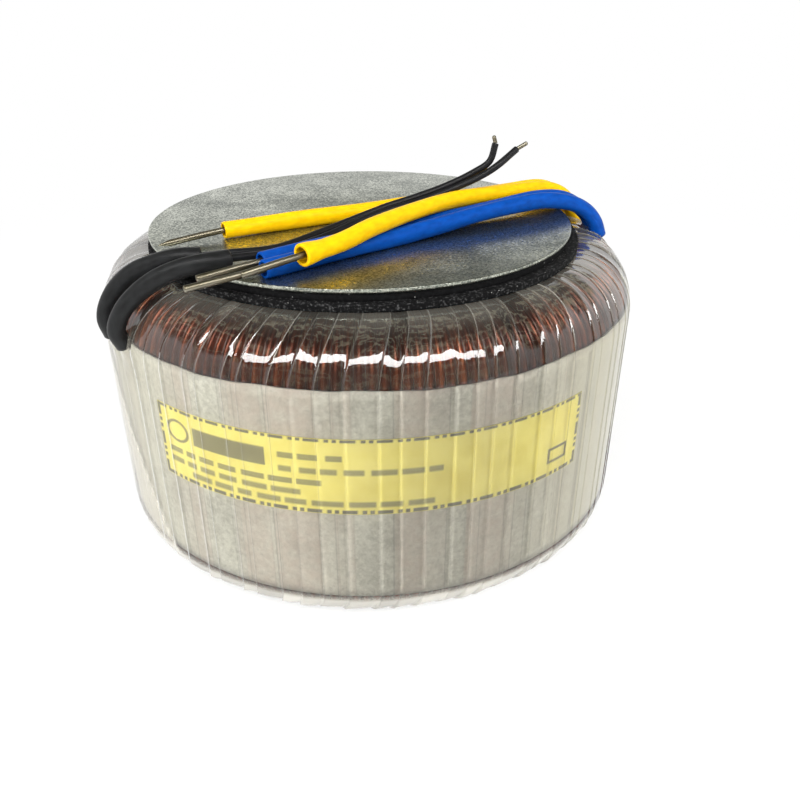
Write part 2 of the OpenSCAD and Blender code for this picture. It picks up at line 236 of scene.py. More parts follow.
def denseEnd(path, stations, span, rows):
    # more rings over the last span of the path, closer and closer, so that its rounding shows
    s = np.concatenate([stations[stations < stations[-1] - span],
                        stations[-1] - span * np.cos(np.linspace(0, math.pi / 2, rows))])
    return np.stack([np.interp(s, stations, path[:, k]) for k in range(3)], axis=1), s


def roundEnd(stations, radius, corner):
    # radius, less what a quarter circle of radius corner takes off the far end
    d = np.clip((stations[-1] - stations) / corner, 0, 1)
    return radius - corner + corner * np.sqrt(1 - (1 - d) ** 2)


def tubeRings(path, radii, sides, squash):
    # an ellipse of each radius set square to the path, (1 + squash) wide and (1 - squash) tall
    level = np.array((0.1, 1, 0.1))  # the sideways vector stays near this one
    tangent = np.gradient(path, axis=0)
    tangent /= np.linalg.norm(tangent, axis=1)[:, None]
    side = level - tangent * (tangent @ level)[:, None]
    side /= np.linalg.norm(side, axis=1)[:, None]
    up = np.cross(tangent, side)
    angle = np.linspace(0, 2 * math.pi, sides, endpoint=False)
    wide = (radii * (1 + squash))[:, None] * np.cos(angle)
    tall = (radii * (1 - squash))[:, None] * np.sin(angle)
    return path[:, None] + wide[..., None] * side[:, None] + tall[..., None] * up[:, None]


def makeTube(name, path, stations, radii, sides, squash=0.0, bore=None):
    # rings carried along the path and, with a bore of (first ring, radius), back again inside it;
    # a fan round a centre point closes each end
    rings, along = tubeRings(path, radii, sides, squash), stations
    last = -1
    if bore:
        last, radius = bore
        inside = tubeRings(path, np.full(len(path), radius), sides, squash)[last:][::-1]
        rings, along = np.concatenate([rings, inside]), np.concatenate([stations, stations[last:][::-1]])
    centre = rings.shape[0] * sides
    points = np.concatenate([rings.reshape(-1, 3), path[[0, last]]])
    around = np.tile(np.linspace(0, 1, sides, endpoint=False), len(rings))
    uv = np.stack([np.repeat(along, sides), around], axis=1)
    uv = np.concatenate([uv, [[0, 0.5], [stations[-1], 0.5]]])
    j = np.arange(sides)
    k = (j + 1) % sides
    end = centre - sides
    caps = [np.stack([k, j, np.full(sides, centre)], axis=1),
            np.stack([end + j, end + k, np.full(sides, centre + 1)], axis=1)]
    return makeMesh(name, points * mm, [gridFaces(len(rings), sides, closeColumns=True)] + caps, uv=uv)


conductors = {
    "diameter": 1.3, "tipRound": 0.3, "wobble": 0.012, "sides": 20,
    "snipped": "yellow_conductor_1",  # cut to a point: these radii at these distances from the end
    "snipReach": (0, 0.1, 2.2), "snipRadius": (0.08, 0.14, 0.65),
    "routes": {
        "yellow_conductor_1": [(-21, -11.5, 67.8), (-30, -16, 67.8), (-42, -22.5, 66.7)],
        "yellow_conductor_2": [(-5, -34.2, 70.6), (-12, -41, 70.3), (-17.5, -44.5, 69.6),
                               (-22.2, -46.3, 68.6)],
        "blue_conductor_1": [(-11, -34.8, 67.8), (-19, -41, 67.8), (-32, -48, 66.8)],
        "blue_conductor_2": [(-12, -30.3, 67.8), (-20, -36.6, 67.8), (-30.7, -43.3, 67)]},
}
sleeves = {
    "outer": 1.75, "bore": 1.25, "boreDepth": 9.0, "lipRound": 0.12, "sides": 24,
    "flared": "yellow_2", "flare": 0.24,  # the wire inside has spread this mouth
    "routes": {
        "blue_1": [(54.99, 4.81, 59.54), (53.5, 4, 63), (50.8, 3, 66), (46.5, 1.5, 68.2), (40, -1, 69.4),
                   (32.5, -5, 69.4), (24, -10, 69), (15, -16, 68.3), (5, -23, 67.8), (-6, -31, 67.8),
                   (-19, -41, 67.8)],
        "blue_2": [(54.44, 9.11, 59.54), (53, 8.5, 63), (49.5, 7.5, 66.2), (45, 6.3, 68.2),
                   (38.5, 3.4, 68.7), (30, -1.8, 68.4), (19, -8.3, 67.9), (7, -16.6, 67.8),
                   (-6.5, -26, 67.8), (-20, -36.6, 67.8)],
        "yellow_1": [(50.24, 21.32, 59.99), (49, 20, 63.2), (46.3, 19, 66.5), (42, 17, 68.2),
                     (34, 13.5, 68.2), (24, 9.5, 67.9), (13, 5, 67.8), (-1, -2, 67.8),
                     (-15, -8.5, 67.8), (-30, -16, 67.8)],
        "yellow_2": [(52.36, 16.01, 59.86), (50.2, 14.8, 63.5), (47.5, 13, 67), (42.5, 10.5, 69.2),
                     (34.5, 5, 70.2), (26, -1, 70.8), (17.5, -8, 71.3), (9, -17.2, 71.5), (1, -26.8, 71.3),
                     (-5, -34.2, 70.6), (-12, -41, 70.3)],
        "black_1": [(-47.6, -36.52, 51.48), (-48.2, -37.8, 55), (-46.5, -37.8, 58.8), (-43.5, -37.3, 62),
                    (-39.5, -37.3, 64.8), (-35, -37.5, 66.8), (-30.5, -37, 67.8), (-26, -34.5, 67.8)],
        "black_2": [(-51.43, -30.9, 51.48), (-51.8, -32, 55), (-51, -31.5, 58), (-48.8, -31.2, 61.2),
                    (-45, -31.5, 64.3), (-40, -32.5, 66.5), (-35.5, -33.5, 67.8), (-31.5, -33, 67.8)]},
}
flexLeads = {
    "diameter": 1.5, "edgeRound": 0.12, "wobble": 0.01, "sides": 16,
    "tipDiameter": 0.9, "tipRound": 0.25, "tipSides": 14,
    "routes": {
        "black_lead_1": [(-30.5, -37, 67.8), (-26, -34.5, 67.8), (-18, -28.5, 67), (-9.8, -19.8, 67),
                         (-3, -13.5, 68.1), (4, -9.5, 69.6), (11, -7, 71), (18, -4.5, 72.8),
                         (24.5, -3, 75.2), (28.5, -2.5, 77.5), (33.2, 0.5, 80.5)],
        "black_lead_2": [(-35.5, -33.5, 67.8), (-31.5, -33, 67.8), (-26, -31.8, 68), (-18.2, -26.2, 67.1),
                         (-10.3, -17.5, 67.4), (-3, -11.7, 68.6), (4, -7.8, 70.2), (11, -5.2, 71.7),
                         (18, -2.8, 73.6), (23.5, -1.5, 75.9), (27, -1.2, 78.2), (28.2, -0.8, 82)]},
    "tips": {"black_lead_1": (35.5, 0.7, 81.8), "black_lead_2": (27.7, -0.7, 83.6)},
}
pvc = {"yellow": pvcMaterial("yellowPvc", "#edbc00", "#dfaa00", 0.42, 0.15),
       "blue": pvcMaterial("bluePvc", "#00459c", "#003a86", 0.42, 0.13),
       "black": pvcMaterial("blackPvc", "#1b1c1d", "#121213", 0.42, 0.3)}
leadPvc = pvcMaterial("leadPvc", "#161618", "#101012", 0.4, 0.35)
tin = tinMaterial()


bareEnds = {}
for key, route in conductors["routes"].items():
    path, stations = denseEnd(*routeCurve(route), 0.55, 8)
    radii = roundEnd(stations, conductors["diameter"] / 2, conductors["tipRound"])
    if key == conductors["snipped"]:
        radii = np.minimum(radii, np.interp(stations[-1] - stations, conductors["snipReach"],
                                            conductors["snipRadius"]))
    radii = radii * (1 + conductors["wobble"] * np.sin(stations * 0.9 + 1.3))
    bareEnds[key] = makeTube(key + "_tinned", path, stations, radii, conductors["sides"])
    dress(bareEnds[key], tin, key)

for key, route in sleeves["routes"].items():
    colour = key.split("_")[0]
    path, stations = denseEnd(*routeCurve(route), 0.5, 6)
    radii = np.full(len(stations), sleeves["outer"])
    if key == sleeves["flared"]:
        radii = radii * (1 + sleeves["flare"] * smooth(stations, stations[-1] - 5.5, stations[-1] - 0.5))
    radii[-1] -= sleeves["lipRound"]
    squash = 0.05 * np.sin(stations * 0.21 + len(key)) - 0.03  # soft tube, nowhere quite round
    bore = (int(np.searchsorted(stations, stations[-1] - sleeves["boreDepth"])),
            sleeves["bore"] * radii[-2] / sleeves["outer"])
    tube = makeTube(key.replace("_", "Sleeve"), path, stations, radii, sleeves["sides"], squash, bore)
    dress(tube, pvc[colour], key.replace("_", "_sleeve_"))
    print(key, "sleeve", round(float(stations[-1]), 1), "mm")

for key, route in flexLeads["routes"].items():
    path, stations = denseEnd(*routeCurve(route), 0.3, 5)
    radii = roundEnd(stations, flexLeads["diameter"] / 2, flexLeads["edgeRound"])
    radii = radii * (1 + flexLeads["wobble"] * np.sin(stations * 0.8))
    tube = makeTube(key + "_flex", path, stations, radii, flexLeads["sides"])
    tipEnd = flexLeads["tips"][key]
    tipPath, tipStations = routeCurve([route[-1], 0.5 * (np.array(route[-1]) + tipEnd), tipEnd], 0.2)
    tipRadii = roundEnd(tipStations, flexLeads["tipDiameter"] / 2, flexLeads["tipRound"])
    tipNode = key.replace("lead", "tip")
    tip = makeTube(tipNode + "_tinned", tipPath, tipStations, tipRadii, flexLeads["tipSides"])
    dress(tube, leadPvc, key)
    dress(tip, tin, tipNode)
    print(key, round(float(stations[-1]), 1), "mm")
print("leads made")


# enamelled copper: drawn wire under a clear brown varnish, so a dark red-brown metal with an orange
# glow; painted shade makes the turns that lie deeper darker and the gaps between wires almost black
def copperMaterial():
    material, tree = newMaterial("enamelledCopper")
    coord = addNode(tree, "ShaderNodeTexCoord")
    gap = addNode(tree, "ShaderNodeAttribute", attribute_name="gap")
    wire = addNode(tree, "ShaderNodeAttribute", attribute_name="wire")
    patch = addNode(tree, "ShaderNodeTexNoise", {
        "Vector": coord.outputs["Object"], "Scale": 60, "Detail": 3})  # varnish runs of 17 mm
    body = addNode(tree, "ShaderNodeValToRGB", {"Fac": patch.outputs["Fac"]},
                   [(0.3, "#4c261a"), (0.5, "#6e3822"), (0.68, "#9c5432")])
    # painted shade: the turns that lie deeper are mixed towards a darker brown
    sunkTurnShade = addNode(tree, "ShaderNodeMix", {
        0: wire.outputs["Fac"], 6: body.outputs["Color"], 7: "#5e2c20"}, data_type="RGBA")
    # painted shade: the gaps between the wires are painted almost black
    shaded = addNode(tree, "ShaderNodeMix", {
        0: gap.outputs["Fac"], 6: sunkTurnShade.outputs[2], 7: "#1c1110"}, data_type="RGBA")
    metal = addNode(tree, "ShaderNodeMapRange", {"Value": gap.outputs["Fac"], "To Min": 0.85, "To Max": 0.0})
    shader = addNode(tree, "ShaderNodeBsdfPrincipled", {
        "Base Color": shaded.outputs[2], "Metallic": metal.outputs[0], "Roughness": 0.34,
        "Coat Weight": 0.25, "Coat Roughness": 0.25, "Coat IOR": 1.55})
    addNode(tree, "ShaderNodeOutputMaterial", {"Surface": shader.outputs[0]})
    return material


winding = {"node": "secondary_winding_2", "hole": 19.7, "shoulder": 12.0, "foot": 6.5, "mouth": 4.0,
           "wire": 1.4, "turns": 88, "samples": 12, "wander": 0.175,
           "dipFrom": 46, "dipTo": 24}  # every second turn sinks behind its neighbours between these radii


def windingPoints(w):
    # ridges of round wire over the section: height = sqrt(radius^2 - d^2) - radius at a distance d from
    # a wire's middle, and of a straight turn and one that sinks in the hole, the higher
    rim, low, high = reach(w["node"])
    section, normal = roundedSection(rim, w["hole"], low, high, w["shoulder"], w["foot"], w["mouth"],
                                     (10, 14, 14, 5, 6, 5, 10, 9))
    phase = np.arange(w["turns"] * w["samples"]) / w["samples"]
    radius = w["wire"] / 2
    pitch = 2 * math.pi / w["turns"]  # angle from one straight turn to the next
    part = phase % 1
    toStraight = np.minimum(part, 1 - part) * section[:, :1] * pitch
    toSunk = np.abs(part - 0.5) * section[:, :1] * pitch
    dip = w["wire"] * (1 - smooth(section[:, :1], w["dipTo"], w["dipFrom"]))
    straight = np.sqrt(np.maximum(radius ** 2 - toStraight ** 2, 0)) - radius
    sunk = np.sqrt(np.maximum(radius ** 2 - toSunk ** 2, 0)) - radius - dip
    floor = -radius - 0.5  # where no wire lies
    straight = np.where(toStraight < radius, straight, floor)
    sunk = np.where(toSunk < radius, sunk, floor)
    height = np.maximum(straight, sunk)
    # the turns stray from even spacing by a sum of sines, less as the circle gets wider
    angle = phase * pitch
    along = np.linspace(0, 2 * math.pi, len(section), endpoint=False)[:, None]
    stray = sum(np.sin(n * angle * 9 + 1.7 * n + 1.5 * np.sin(along + n)) / n for n in (1, 2, 3, 5))
    angle = angle + stray * w["wander"] / section[:, :1]
    points = roundTheAxis(*raised(section, normal, height), angle)
    # the gap mask marks where shade is painted almost black, and wire is 0.5 on the deeper turns, which get
    # painted shade
    return points, {"gap": smooth(-height, 0.5, 0.75), "wire": np.where(straight >= sunk, 0.0, 0.5)}


points, attributes = windingPoints(winding)
outerWinding = makeMesh("outerWinding", points * mm, [gridFaces(*points.shape[:2], True, True)], attributes)
dress(outerWinding, copperMaterial(), winding["node"])
print("winding made:", points.shape[0] * points.shape[1], "points")


# insulating paper: pressed from fibres and wound on in strips, so a matt mottle with blots, warmer and
# cooler strips and a faint line where each strip's edge lies under the next, and painted light that makes the
# two sides of the coil paler
def paperMaterial():
    material, tree = newMaterial("insulatingPaper")
    coord = addNode(tree, "ShaderNodeTexCoord")
    strip = addNode(tree, "ShaderNodeAttribute", attribute_name="strip")
    paintedSideLight = addNode(tree, "ShaderNodeAttribute", attribute_name="paintedSideLight")
    under = addNode(tree, "ShaderNodeAttribute", attribute_name="line")
    fibre = addNode(tree, "ShaderNodeTexNoise", {
        "Vector": coord.outputs["Object"], "Scale": 900, "Detail": 5, "Roughness": 0.8})  # 1.1 mm clumps
    blot = addNode(tree, "ShaderNodeTexNoise", {
        "Vector": coord.outputs["Object"], "Scale": 140, "Detail": 4})  # 7 mm
    tint = addNode(tree, "ShaderNodeTexNoise", {
        "Vector": coord.outputs["Object"], "Scale": 420, "Detail": 3})  # 2.4 mm
    fibres = addNode(tree, "ShaderNodeMath", {0: fibre.outputs["Fac"], 1: 0.7}, operation="MULTIPLY")
    mottle = addNode(tree, "ShaderNodeMath", {0: blot.outputs["Fac"], 1: 0.3, 2: fibres.outputs[0]},
                     operation="MULTIPLY_ADD")
    base = addNode(tree, "ShaderNodeValToRGB", {"Fac": mottle.outputs[0]},
                   [(0.38, "#a9a79b"), (0.5, "#c1c0b4"), (0.62, "#d6d5c9")])
    warmth = addNode(tree, "ShaderNodeMath", {0: tint.outputs["Fac"], 1: strip.outputs["Fac"]},
                     operation="MULTIPLY")
    warm = addNode(tree, "ShaderNodeMix", {
        0: warmth.outputs[0], 6: base.outputs["Color"], 7: "#c0b1a4"}, data_type="RGBA")
    # painted light: the paper is mixed towards a paler cream at the two sides of the coil
    pale = addNode(tree, "ShaderNodeMix", {
        0: paintedSideLight.outputs["Fac"], 6: warm.outputs[2], 7: "#cfccb8"}, data_type="RGBA")
    faint = addNode(tree, "ShaderNodeMath", {0: under.outputs["Fac"], 1: 0.45}, operation="MULTIPLY")
    ruled = addNode(tree, "ShaderNodeMix", {
        0: faint.outputs[0], 6: pale.outputs[2], 7: "#6b675e"}, data_type="RGBA")
    bump = addNode(tree, "ShaderNodeBump", {
        "Strength": 0.3, "Distance": 0.0001, "Height": fibre.outputs["Fac"]})
    shader = addNode(tree, "ShaderNodeBsdfPrincipled", {
        "Base Color": ruled.outputs[2], "Roughness": 0.85, "Normal": bump.outputs[0]})
    addNode(tree, "ShaderNodeOutputMaterial", {"Surface": shader.outputs[0]})
    return material


paper = {"node": "paper_band", "thickness": 0.4, "strips": 150, "seed": 11, "columns": 1800, "rows": 24}


def paperPoints(p):
    # two cylinders, outside and in, whose upper edge waves by a sum of three sines
    outer, low, high = reach(p["node"])
    angle = np.linspace(0, 2 * math.pi, p["columns"], endpoint=False)
    wave = 0.18 * np.sin(angle * 7 + 1) + 0.12 * np.sin(angle * 19) + 0.06 * np.sin(angle * 43 + 2)
    top = high - 0.36 + wave  # 0.36 is the three heights together, so no wave passes the band's box
    height = low + np.linspace(0, 1, p["rows"])[:, None] * (top - low)
    points = np.concatenate([roundTheAxis(outer, height, angle),
                             roundTheAxis(outer - p["thickness"], height[::-1], angle)])
    random = np.random.default_rng(p["seed"])
    column = np.arange(p["columns"])
    stripEdges = np.sort(random.choice(p["columns"], p["strips"], replace=False))
    warmth = random.random(p["strips"] + 1)[np.searchsorted(stripEdges, column)]
    line = np.isin(column, stripEdges) * random.random(p["columns"])
    # painted light: paler and creamier at the two sides of the coil
    paintedSideLight = np.clip(smooth(np.cos(angle), 0.35, 0.95) + 0.8 * smooth(-np.cos(angle), 0.55, 1.0), 0, 0.85)
    attributes = {"strip": warmth, "line": line, "paintedSideLight": paintedSideLight}
    return points, {key: np.tile(values, (len(points), 1)) for key, values in attributes.items()}


points, attributes = paperPoints(paper)
paperBand = makeMesh("paperBand", points * mm, [gridFaces(*points.shape[:2], True, True)], attributes)
dress(paperBand, paperMaterial(), paper["node"])


# label: coated yellow paper with grey ink, so a smoother skin with slight clouds of tone
def labelMaterial():
    material, tree = newMaterial("yellowLabel")
    coord = addNode(tree, "ShaderNodeTexCoord")
    ink = addNode(tree, "ShaderNodeAttribute", attribute_name="ink")
    cloud = addNode(tree, "ShaderNodeTexNoise", {
        "Vector": coord.outputs["Object"], "Scale": 200, "Detail": 4})  # 5 mm
    base = addNode(tree, "ShaderNodeValToRGB", {"Fac": cloud.outputs["Fac"]},
                   [(0.3, "#ebdf74"), (0.6, "#f4ea87")])
    printed = addNode(tree, "ShaderNodeMix", {
        0: ink.outputs["Fac"], 6: base.outputs["Color"], 7: "#77745f"}, data_type="RGBA")
    shader = addNode(tree, "ShaderNodeBsdfPrincipled", {"Base Color": printed.outputs[2], "Roughness": 0.5})
    addNode(tree, "ShaderNodeOutputMaterial", {"Surface": shader.outputs[0]})
    return material


# The print is plain shapes: bars in rows, a block, a ring, a box and a broken border. Places run from the
# label's lower left corner, in millimetres.
labelSheet = {
    "node": "label", "radius": 59.55, "thickness": 0.1, "height": 16.3, "width": 91.0, "centre": -90.0,
    "cell": 0.2, "border": 0.75, "barHeight": 1.2, "barInk": 0.75,
    "rows": {  # height of a row of bars, and where each bar starts and ends
        11.5: [(28, 31), (31.8, 35.5), (37, 40)],
        8.6: [(28, 30.5), (32, 35.2), (35.9, 39), (40.2, 44), (45.2, 50), (50.8, 55), (55.8, 58.5)],
        6.1: [(2.5, 6), (7, 9.4), (10.4, 14), (15, 19), (20.2, 25), (25.8, 30.5), (31.3, 36)],
        3.8: [(2.5, 6), (7, 9.4), (10.4, 14), (15, 19), (20.2, 25.4), (26.2, 32)],
        1.6: [(8, 13), (13.8, 18), (19, 22), (23.2, 28), (28.8, 33), (34, 40), (41, 46), (46.8, 51),
              (52, 57)]},
    "block": (9.5, 25.5, 9.3, 13.2), "blockInk": 0.85,
    "ring": (5.3, 11.2, 2.2), "ringInk": 0.9,
    "box": (82, 87.5, 3.0, 6.5), "boxLine": 0.6,
}


def labelInk(s, u, v):
    # ink from 0 to 1 at u along and v up the sheet; every edge is an S curve
    def block(u0, u1, v0, v1, soft=0.1):
        return smooth(u, u0 - soft, u0 + soft) * smooth(-u, -u1 - soft, -u1 + soft) \
            * smooth(v, v0 - soft, v0 + soft) * smooth(-v, -v1 - soft, -v1 + soft)

    def dashes(along):
        # a long dash and two short ones in every 6.6 mm
        p = along % 6.6
        return np.maximum.reduce([smooth(p, start, start + 0.15) * smooth(-p, -end, 0.15 - end)
                                  for start, end in ((0.0, 3.05), (3.75, 4.75), (5.2, 6.2))])

    w, h, inset, border = s["width"], s["height"], 0.1, s["border"]
    ink = np.zeros(u.shape)
    for across, along, size in ((v, u, h), (u, v, w)):
        onEdge = ((across > inset) & (across < inset + border)) \
            | ((across > size - border - inset) & (across < size - inset))
        ink = np.maximum(ink, np.where(onEdge, dashes(along), 0))
    for low, bars in s["rows"].items():
        for start, end in bars:
            ink = np.maximum(ink, s["barInk"] * block(start, end, low, low + s["barHeight"]))
    ink = np.maximum(ink, s["blockInk"] * block(*s["block"]))
    ringU, ringV, ringRadius = s["ring"]
    ring = np.abs(np.hypot((u - ringU) / 1.25, v - ringV) - ringRadius)  # a little wider than tall
    ink = np.maximum(ink, s["ringInk"] * smooth(-ring, -0.35, -0.2))
    u0, u1, v0, v1 = s["box"]
    line = s["boxLine"]
    ink = np.maximum(ink, block(u0, u1, v0, v1) * (1 - block(u0 + line, u1 - line, v0 + line, v1 - line)))
    return np.clip(ink, 0, 1)


def labelMesh(s):
    # the front is a piece of a cylinder, and the back its outline set one thickness deeper, joined
    # across by long quads
    low = reach(s["node"])[1]
    u, v = np.meshgrid(*[np.arange(0, s[size] + 1e-6, s["cell"]) for size in ("width", "height")])
    angle = math.radians(s["centre"]) + (u - s["width"] / 2) / s["radius"]
    front = roundTheAxis(s["radius"], low + v, angle).reshape(-1, 3)
    rows, columns = u.shape
    outline = np.concatenate([np.arange(columns), np.arange(1, rows) * columns + columns - 1,
                              (rows - 1) * columns + np.arange(columns - 2, -1, -1),
                              np.arange(rows - 2, 0, -1) * columns])
    inwards = (s["radius"] - s["thickness"]) / s["radius"]
    back = front[outline] * np.array([inwards, inwards, 1])
    start = len(front)
    k = np.arange(len(outline))
    n = (k + 1) % len(outline)
    rim = np.stack([outline[k], start + k, start + n, outline[n]], axis=1)
    lower = start + np.arange(columns)
    upper = start + columns + rows - 2 + np.arange(columns)[::-1]
    across = np.stack([lower[:-1], upper[:-1], upper[1:], lower[1:]], axis=1)
    ink = labelInk(s, u, v).ravel()
    faces = [gridFaces(rows, columns), rim, across]
    return np.concatenate([front, back]), faces, np.append(ink, ink[outline])


points, faces, ink = labelMesh(labelSheet)
yellowLabel = makeMesh("yellowLabel", points * mm, faces, {"ink": ink})
dress(yellowLabel, labelMaterial(), labelSheet["node"])
print("paper and label made")


# clear polyester film: biaxially stretched and several laps thick, so it mirrors like glass at a slant
# and shows what is under it a little milkily; painted light draws each free edge as a line, pale on top
# and dark on the wall and foot, greys the haze at the foot as painted shade, hazes the sides of the
# shoulder as a painted reflection and puts a painted highlight along the fold's crest
def filmMaterial():
    material, tree = newMaterial("clearFilm")
    coord = addNode(tree, "ShaderNodeTexCoord")
    edge = addNode(tree, "ShaderNodeAttribute", attribute_name="edge")
    milk = addNode(tree, "ShaderNodeAttribute", attribute_name="milk")
    plies = addNode(tree, "ShaderNodeAttribute", attribute_name="plies")  # -1 at the foot, 0 wall, 1 top
    ripple = addNode(tree, "ShaderNodeTexNoise", {
        "Vector": coord.outputs["Object"], "Scale": 130, "Detail": 3, "Distortion": 0.8})  # slack of 8 mm
    bump = addNode(tree, "ShaderNodeBump", {
        "Strength": 0.22, "Distance": 0.0006, "Height": ripple.outputs["Fac"]})
    clear = addNode(tree, "ShaderNodeBsdfTransparent", {"Color": (0.975, 0.97, 0.955, 1)})
    gloss = addNode(tree, "ShaderNodeBsdfGlossy", {
        "Color": (1, 1, 1, 1), "Roughness": 0.035, "Normal": bump.outputs[0]})
    span = addNode(tree, "ShaderNodeMapRange", {"Value": plies.outputs["Fac"], "From Min": -1.0})
    # painted shade: the haze is greyer at the foot, which faces down, than on the wall and top
    veil = addNode(tree, "ShaderNodeValToRGB", {"Fac": span.outputs[0]}, [(0.0, "#c6c3bb"), (0.5, "#e2dccd")])
    haze = addNode(tree, "ShaderNodeBsdfDiffuse", {"Color": veil.outputs["Color"]})
    # painted light: each lap's edge line is dark on the wall and foot and pale on the shoulder and top
    rim = addNode(tree, "ShaderNodeValToRGB", {"Fac": span.outputs[0]}, [(0.5, "#6f6c64"), (0.68, "#e0dcd0")])
    line = addNode(tree, "ShaderNodeBsdfDiffuse", {"Color": rim.outputs["Color"]})
    # one sheet mirrors as an IOR of 1.5 does, and a stack of them more, as 2.1 does
    index = addNode(tree, "ShaderNodeMapRange", {"Value": plies.outputs["Fac"], "To Min": 1.5, "To Max": 2.1})
    fresnel = addNode(tree, "ShaderNodeFresnel", {"IOR": index.outputs[0], "Normal": bump.outputs[0]})
    hazy = addNode(tree, "ShaderNodeMixShader", {
        0: milk.outputs["Fac"], 1: clear.outputs[0], 2: haze.outputs[0]})
    paintedEdgeLine = addNode(tree, "ShaderNodeMixShader", {
        0: edge.outputs["Fac"], 1: hazy.outputs[0], 2: line.outputs[0]})
    sheet = addNode(tree, "ShaderNodeMixShader", {
        0: fresnel.outputs[0], 1: paintedEdgeLine.outputs[0], 2: gloss.outputs[0]})
    addNode(tree, "ShaderNodeOutputMaterial", {"Surface": sheet.outputs[0]})
    return material


film = {
    "node": "outer_wrap", "hole": 19.2, "shoulder": 12.5, "foot": 7.0, "mouth": 4.5,
    "laps": 80, "jitter": 0.28, "seed": 23,  # jitter: how far an edge strays, as a part of a lap
    "lapStep": 0.12, "slant": 3.2,  # step down at a free edge, and how far a lap leans, in degrees
    "puff": 0.16, "bank": 0.3, "crease": 0.06, "highest": 0.28, "tooth": (0.15, 0.4),
    "edgeLight": (0.08, 0.4), "footMilk": (0.6, 0.3), "mostMilk": 0.85,
    "fold": {"azimuth": 200, "lean": 0.58, "milk": 0.3, "crestHighlight": 0.35},
    "tent": {"height": 0.9, "radius": 3.0, "milk": 0.2,  # azimuth and elevation of each lead's exit
             "exits": [(5, 52.5), (9.5, 52.5), (17, 55), (23, 56), (217.5, 9), (211, 9)]},
}


def filmPoints(f):
    # the section set in by lap step x place in the lap, so that each lap steps down at its free edge,
    # plus sin(pi x place) times a random puff and creases, plus a random bank across each lap
    rim, low, high = reach(f["node"])
    section, normal = roundedSection(rim, f["hole"], low, high, f["shoulder"], f["foot"], f["mouth"],
                                     (16, 26, 12, 6, 5, 6, 10, 12))
    random = np.random.default_rng(f["seed"])
    laps = f["laps"]
    places = np.array([0.0, 0.02, 0.045, 0.18, 0.36, 0.54, 0.7, 0.86, 1.0])
    starts = np.arange(laps) + f["jitter"] * (random.random(laps) * 2 - 1)
    widths = np.diff(np.append(starts, starts[0] + laps))
    within = np.where(places == 1, 0.995, places)  # a lap ends just short of the next one's edge
    angle = ((starts[:, None] + widths[:, None] * within) / laps * 2 * math.pi).ravel()
    place = np.tile(places, laps)
    lap = np.repeat(np.arange(laps), len(places))

    # how far a point belongs to each region, by the elevation of its normal: 0 on the wall, 90 on top
    elevation = np.degrees(np.arctan2(normal[:, 1], normal[:, 0]))[:, None]
    onShoulder = np.exp(-((elevation - 52) / 30) ** 2)
    onFoot = np.exp(-((elevation + 45) / 28) ** 2)
    onTop = smooth(elevation, 70, 90) * (elevation < 91)
    onWall = np.exp(-(elevation / 22) ** 2)
    atFoot = smooth(-elevation, 2, 16)

    puffs = random.normal(0, 1, (laps, 4))
    bank = random.uniform(-1, 1, laps)
    puff = puffs[lap, 0] * onShoulder + 0.6 * puffs[lap, 1] * onFoot + 0.5 * puffs[lap, 2] * onTop
    creases = f["crease"] * np.sin(elevation * 0.24 + 5 * puffs[lap, 3] + 9 * place) * onShoulder
    height = -f["lapStep"] * place + (f["puff"] * puff + 0.03 + creases) * np.sin(math.pi * place)
    height = height + f["bank"] * bank[lap] * (place - 0.5) * onShoulder
    least, spread = f["tooth"]
    tooth = np.exp(-((elevation + 32) / 16) ** 2) * (least + spread * random.random(laps))[lap]
    height = np.minimum(height, f["highest"]) + tooth * (1 - place)
    lean = np.radians(f["slant"]) * (smooth(elevation, 5, 90) - smooth(-elevation, 5, 90))
    slanted = angle + lean
    points = roundTheAxis(*raised(section, normal, height), slanted)

    # the film stands up round each lead as a bell, exp(-(distance / radius)^2)
    tent = np.zeros(points.shape[:2])
    for azimuth, rise in np.radians(f["tent"]["exits"]):
        out = rim - f["shoulder"] + f["shoulder"] * math.cos(rise)
        leadExit = np.array([out * math.cos(azimuth), out * math.sin(azimuth),
                             high - f["shoulder"] + f["shoulder"] * math.sin(rise)])
        distance = np.linalg.norm(points - leadExit, axis=-1)
        tent = np.maximum(tent, np.exp(-(distance / f["tent"]["radius"]) ** 2))

    # painted light: each lap's free edge gets a line, painted pale on top and dark on the wall and foot
    least, spread = f["edgeLight"]
    edge = np.interp(place, [0, 0.02, 0.045, 1], [1, 0.8, 0, 0]) * np.ones((len(section), 1))
    edge = edge * (least + spread * random.random(laps) ** 2)[lap]
    veil = 0.012 + 0.02 * onWall + 0.07 * smooth(elevation, 50, 80) * (elevation < 91)
    # painted reflection: the shoulder is hazed more at the two sides of the coil, where the film mirrors the
    # bright room
    sides = smooth(np.abs(np.cos(angle)), 0.55, 0.98) * onShoulder
    milk = (veil + 0.06 * sides) * (0.5 + random.random(laps))[lap] + f["tent"]["milk"] * tent
    least, spread = f["footMilk"]
    milk = milk + (least + spread * random.random(laps))[lap] * atFoot
    # one loose fold slants down the wall: past is the degrees from its crest
    fold = f["fold"]
    past = fold["azimuth"] + (50 - points[..., 2]) * fold["lean"] - np.degrees(slanted) % 360
    inFold = smooth(past, -0.6, 0.6) * smooth(-past, -24, -6) * (points[..., 2] > 1) * (elevation < 20)
    # painted highlight: a thin pale line along the fold's crest, over the fold's milkiness
    milk = milk + inFold * (fold["milk"] + fold["crestHighlight"] * np.exp(-(past / 1.1) ** 2))
    plies = (smooth(elevation, 8, 60) - atFoot) * np.ones(len(angle))

    points = points + roundTheAxis(*raised(0 * section, normal, f["tent"]["height"] * tent), slanted)
    return points, {"edge": edge, "milk": np.clip(milk, 0, f["mostMilk"]), "plies": plies}


points, attributes = filmPoints(film)
filmWrap = makeMesh("filmWrap", points * mm, [gridFaces(*points.shape[:2], True, True)], attributes)
dress(filmWrap, filmMaterial(), film["node"])
print("film made:", points.shape[0] * points.shape[1], "points")


